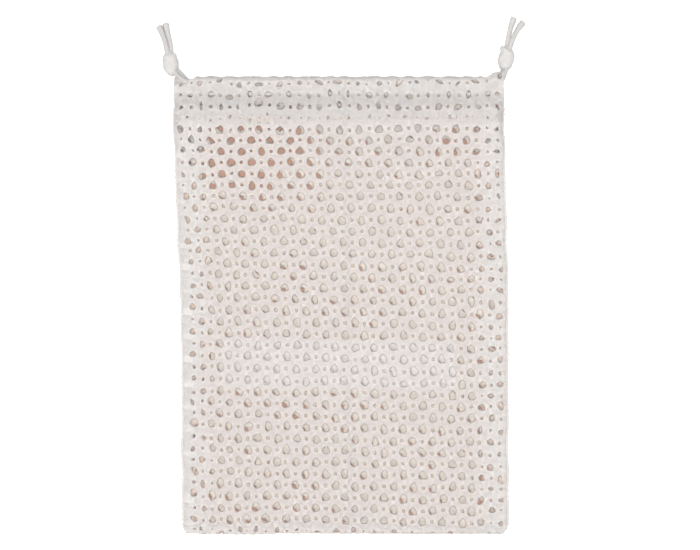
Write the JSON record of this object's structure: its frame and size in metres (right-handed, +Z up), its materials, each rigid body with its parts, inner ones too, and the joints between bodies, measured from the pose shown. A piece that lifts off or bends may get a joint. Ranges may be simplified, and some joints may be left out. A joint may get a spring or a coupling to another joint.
{
  "type": "mesh produce bag",
  "caption": "Flat net bag for produce, with a casing round its mouth, a drawcord looped through it from each side, knotted cord ends and a plain sewn label on the back.",
  "frame": {"origin": "under the middle of the bag's body, on the surface that the bag lies on", "axes": "+X across the bag to its right, +Y from the bottom fold to the mouth, +Z up from the surface"},
  "size_m": [0.2232, 0.3112, 0.0144],
  "materials": {
    "net_cloth": "unbleached knitted cotton net, soft and matt",
    "cotton_cord": "braided cotton cord, matt",
    "label_cotton": "fine plain-woven cotton tape",
    "sewing_thread": "spun sewing thread"
  },
  "bodies": {
    "bag": {"back_panel": "net_cloth", "front_panel": "net_cloth", "bottom_fold": "net_cloth", "back_casing_turning": "net_cloth", "front_casing_turning": "net_cloth", "back_hem_stitching": "sewing_thread", "front_hem_stitching": "sewing_thread", "label_patch": "label_cotton", "label_stitching": "sewing_thread", "left_side_seam": "net_cloth", "right_side_seam": "net_cloth", "left_seam_allowance": "net_cloth", "right_seam_allowance": "net_cloth", "left_seam_stitching": "sewing_thread", "right_seam_stitching": "sewing_thread"},
    "left_drawcord": {"left_drawcord": "cotton_cord", "left_knot": "cotton_cord", "left_cord_end_1": "cotton_cord", "left_cord_end_2": "cotton_cord"},
    "right_drawcord": {"right_drawcord": "cotton_cord", "right_knot": "cotton_cord", "right_cord_end_1": "cotton_cord", "right_cord_end_2": "cotton_cord"}
  },
  "joints": [
    {"name": "left_cord_pull", "type": "slide", "parent": "bag", "child": "left_drawcord", "axis": [-1, 0, 0], "range_m": [0, 0.065], "deforming": ["back_casing_turning", "front_casing_turning"]},
    {"name": "right_cord_pull", "type": "slide", "parent": "bag", "child": "right_drawcord", "axis": [1, 0, 0], "range_m": [0, 0.065], "deforming": ["back_casing_turning", "front_casing_turning"]}
  ]
}
